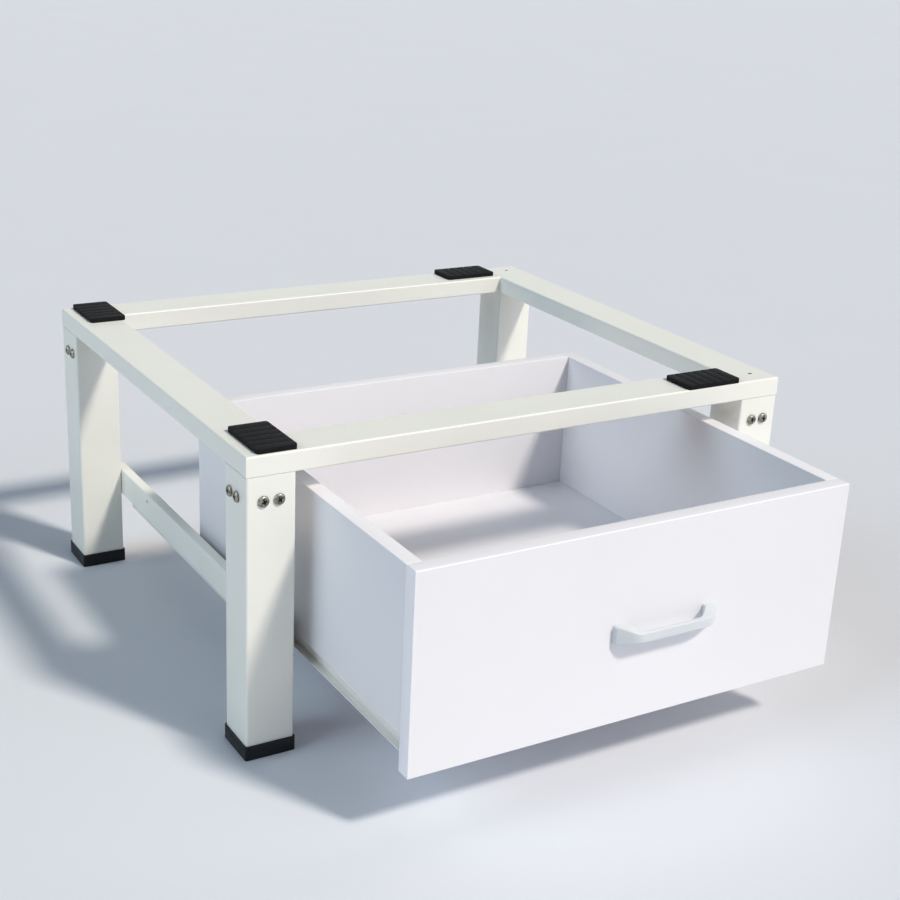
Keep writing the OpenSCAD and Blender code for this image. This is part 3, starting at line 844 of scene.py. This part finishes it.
class PEDESTAL_OT_mount_handle(bpy.types.Operator):
    """Mould the bow handle: sweep one foot up the leg and round into the bar, and mirror it"""

    bl_idname = "pedestal.mount_handle"
    bl_label = "Mount the handle"
    ribs = 22
    slim = 0.78  # the section is down to the bar's height at this share of the sweep
    rounder = 2.2  # the foot's corners are this many times as round as the bar's edges

    def execute(self, context):
        sizes = context.scene.pedestal_sizes
        low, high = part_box("handle")
        centre = (low + high) / 2
        width, height, turn = sizes.foot_width, high.z - low.z, 0.0
        place = Vector((low.x + width / 2, high.y, 0))
        ribs = self.rib_lines(sizes, high.y - low.y, centre.x - low.x, height)
        piece = self.foot_outline(sizes, height, (low.x + width / 2, high.y, centre.z))
        start_edit(piece)
        for outer, inner, new_height in ribs:
            outer, inner = (Vector((low.x + p.x, high.y - p.y, 0)) for p in (outer, inner))
            new_place, span = (outer + inner) / 2, inner - outer
            new_turn = math.atan2(span.y, span.x)
            extrude(new_place - place)
            pivot = (new_place.x, new_place.y, centre.z)
            bpy.ops.transform.rotate(value=turn, orient_axis="Z", center_override=pivot)
            scale = (span.length / width, 1, new_height / height)
            bpy.ops.transform.resize(value=scale, center_override=pivot)
            bpy.ops.transform.rotate(value=-new_turn, orient_axis="Z", center_override=pivot)
            width, height, turn, place = span.length, new_height, new_turn, new_place
        bpy.ops.mesh.delete(type="ONLY_FACE")
        end_edit()
        self.mirror(piece, centre)
        white = context.scene.pedestal_colours.handle
        plastic = moulded_plastic("White moulded ABS", white, 0.36, 1.2, 0.004, 1.54)
        dress(piece, plastic)
        smooth(piece, 50)
        seat(piece, "drawer", "handle_plastic", "handle")
        return {"FINISHED"}

    def rib_lines(self, sizes, reach, half, height):
        """Outer end, inner end and height of each rib, from the foot to the middle of the bar.

        The ends are measured from the foot's outer corner, along the board and out from it.
        """
        edge, foot = sizes.foot_plate, sizes.foot_width
        inset, under = half - sizes.bar_length / 2, reach - sizes.bar_thick
        outer = self.curve(
            (0, edge),
            (inset * 0.6, edge + (reach - edge) * 0.62),
            (inset * 0.95, reach),
            (inset + 7 * MM, reach),
        )
        inner = self.curve(
            (foot, edge),
            (foot + 6 * MM, edge + (under - edge) * 0.55),
            (foot + 8 * MM, under),
            (foot + 18 * MM, under),
        )
        yield Vector((0, edge)), Vector((foot, edge)), height
        for number in range(1, self.ribs):
            share = min(1, number / (self.ribs - 1) / self.slim)
            # the height falls part evenly and part in a smooth step
            ease = 0.6 * share + 0.4 * share * share * (3 - 2 * share)
            yield outer[number], inner[number], height + (sizes.bar_height - height) * ease
        yield Vector((half, reach)), Vector((half, under)), sizes.bar_height

    def curve(self, *corners):
        """Points on the Bezier curve of four corners, one for each rib."""
        return mathutils.geometry.interpolate_bezier(*map(Vector, corners), self.ribs)

    def foot_outline(self, sizes, height, place):
        """The foot's outline on the board, with rounded corners."""
        bpy.ops.object.select_all(action="DESELECT")
        bpy.ops.mesh.primitive_plane_add(size=1, location=place, rotation=(math.pi / 2, 0, 0))
        piece = bpy.context.active_object
        piece.name = "bow_handle"
        piece.scale = (sizes.foot_width, height, 1)
        settle(piece)
        start_edit(piece)
        bpy.ops.mesh.bevel(offset=sizes.handle_round * self.rounder, segments=4, affect="VERTICES")
        bpy.ops.mesh.select_all(action="SELECT")
        end_edit()
        return piece

    def mirror(self, piece, centre):
        """Mirrors the half about the middle of the bar and joins the two."""
        middle = bpy.data.objects.new("handle_middle", None)
        bpy.context.collection.objects.link(middle)
        middle.location = centre
        bpy.context.view_layer.update()
        apply_modifier(piece, "MIRROR", mirror_object=middle, use_clip=True, merge_threshold=1e-5)
        bpy.data.objects.remove(middle)
        start_edit(piece)
        bpy.ops.mesh.remove_doubles(threshold=TOUCH)
        bpy.ops.mesh.normals_make_consistent(inside=False)
        end_edit()


class PEDESTAL_OT_lay_stage(bpy.types.Operator):
    """Lay the floor and set the lights and the camera"""

    bl_idname = "pedestal.lay_stage"
    bl_label = "Lay the stage"

    # the camera's place in the part's frame and the way that it looks
    camera_place = (-0.83512, -1.37250, 0.80921)
    camera_azimuth = 31.351
    camera_elevation = 20.222
    camera_roll = 2.749
    picture_across = 900
    focal_pixels = 1544.5
    sensor = 36.0
    floor_across = 60
    see_to = 200

    def execute(self, context):
        self.floor(context)
        self.camera(context)
        # name, strength, colour, azimuth to the right of the front, elevation, angle across
        self.sun("Key softbox", 2.3, "#FFF8EC", 27.5, 48, 7)
        self.sun("Left softbox", 1.1, "#D8F1FF", -90, 33, 40)
        self.sun("Wide front softbox", 1.0, "#EEF5FF", 36, 25, 58)
        self.world(context)
        context.scene.view_settings.view_transform = "Standard"
        return {"FINISHED"}

    def floor(self, context):
        """A plain pale floor, large enough to fill every view."""
        bpy.ops.object.select_all(action="DESELECT")
        bpy.ops.mesh.primitive_plane_add(size=self.floor_across, location=(0, 0, 0))
        floor = context.active_object
        floor.name = "studio_floor"
        dress(floor, painted_floor("Painted studio floor", context.scene.pedestal_colours.floor))

    def camera(self, context):
        """The camera, with its lens worked out from the picture's focal length in pixels."""
        data = bpy.data.cameras.new("Camera")
        data.sensor_width = self.sensor
        data.lens = self.focal_pixels / self.picture_across * self.sensor
        data.clip_end = self.see_to
        camera = bpy.data.objects.new("Camera", data)
        context.scene.collection.objects.link(camera)
        turn = Matrix.Rotation(math.radians(-self.camera_azimuth), 4, "Z")
        tilt = Matrix.Rotation(math.radians(90 - self.camera_elevation), 4, "X")
        roll = Matrix.Rotation(math.radians(self.camera_roll), 4, "Z")
        camera.matrix_world = Matrix.Translation(self.camera_place) @ turn @ tilt @ roll
        context.scene.camera = camera

    def sun(self, name, strength, hex_colour, azimuth, elevation, across):
        """A far softbox, given by where it stands and how large it looks."""
        data = bpy.data.lights.new(name, "SUN")
        data.energy = strength
        data.color = linear(hex_colour)[:3]
        data.angle = math.radians(across)
        lamp = bpy.data.objects.new(name, data)
        bpy.context.scene.collection.objects.link(lamp)
        side, rise = math.radians(azimuth), math.radians(elevation)
        along_floor = math.cos(rise)
        towards = (math.sin(side) * along_floor, -math.cos(side) * along_floor, math.sin(rise))
        lamp.rotation_euler = Vector(towards).to_track_quat("Z", "Y").to_euler()

    def world(self, context):
        """Soft light from all round, and a pale backdrop for the camera and in gloss."""
        world = bpy.data.worlds.new("Studio")
        world.use_nodes = True
        context.scene.world = world
        tree = world.node_tree
        tree.nodes.clear()
        path = add_node(tree, "ShaderNodeLightPath").outputs
        seen = add_node(
            tree,
            "ShaderNodeMath",
            {"operation": "MAXIMUM"},
            _0=path["Is Camera Ray"],
            _1=path["Is Glossy Ray"],
        )
        soft = add_node(tree, "ShaderNodeBackground", Color=linear("#BCCFFF"), Strength=0.05)
        pale = add_node(tree, "ShaderNodeBackground", Color=linear("#DEE2E7"), Strength=1.0)
        mix = add_node(
            tree, "ShaderNodeMixShader", _0=seen.outputs[0], _1=soft.outputs[0], _2=pale.outputs[0]
        )
        output = add_node(tree, "ShaderNodeOutputWorld")
        tree.links.new(mix.outputs[0], output.inputs["Surface"])


STEPS = (
    PEDESTAL_OT_lay_stage,
    PEDESTAL_OT_coat_stand,
    PEDESTAL_OT_fit_foot_caps,
    PEDESTAL_OT_fit_pads,
    PEDESTAL_OT_drive_leg_screws,
    PEDESTAL_OT_hang_runners,
    PEDESTAL_OT_build_drawer,
    PEDESTAL_OT_mount_handle,
)


class PEDESTAL_PT_panel(bpy.types.Panel):
    """Lists the pedestal's sizes, colours and steps"""

    bl_idname = "PEDESTAL_PT_panel"
    bl_label = "Washer pedestal"
    bl_space_type = "VIEW_3D"
    bl_region_type = "UI"
    bl_category = "Pedestal"

    def draw(self, context):
        for group in (context.scene.pedestal_sizes, context.scene.pedestal_colours):
            column = self.layout.column()
            for name in group.__annotations__:
                column.prop(group, name)
        for step in STEPS:
            self.layout.operator(step.bl_idname)


CLASSES = (PedestalSizes, PedestalColours, *STEPS, PEDESTAL_PT_panel)


def register():
    for item in CLASSES:
        bpy.utils.register_class(item)
    bpy.types.Scene.pedestal_sizes = PointerProperty(type=PedestalSizes)
    bpy.types.Scene.pedestal_colours = PointerProperty(type=PedestalColours)


def unregister():
    del bpy.types.Scene.pedestal_colours
    del bpy.types.Scene.pedestal_sizes
    for item in reversed(CLASSES):
        bpy.utils.unregister_class(item)


def main():
    register()
    bpy.ops.pedestal.lay_stage()
    bpy.ops.pedestal.coat_stand()
    bpy.ops.pedestal.fit_foot_caps()
    bpy.ops.pedestal.fit_pads()
    bpy.ops.pedestal.drive_leg_screws()
    bpy.ops.pedestal.hang_runners()
    bpy.ops.pedestal.build_drawer()
    bpy.ops.pedestal.mount_handle()


if __name__ == "__main__":
    main()
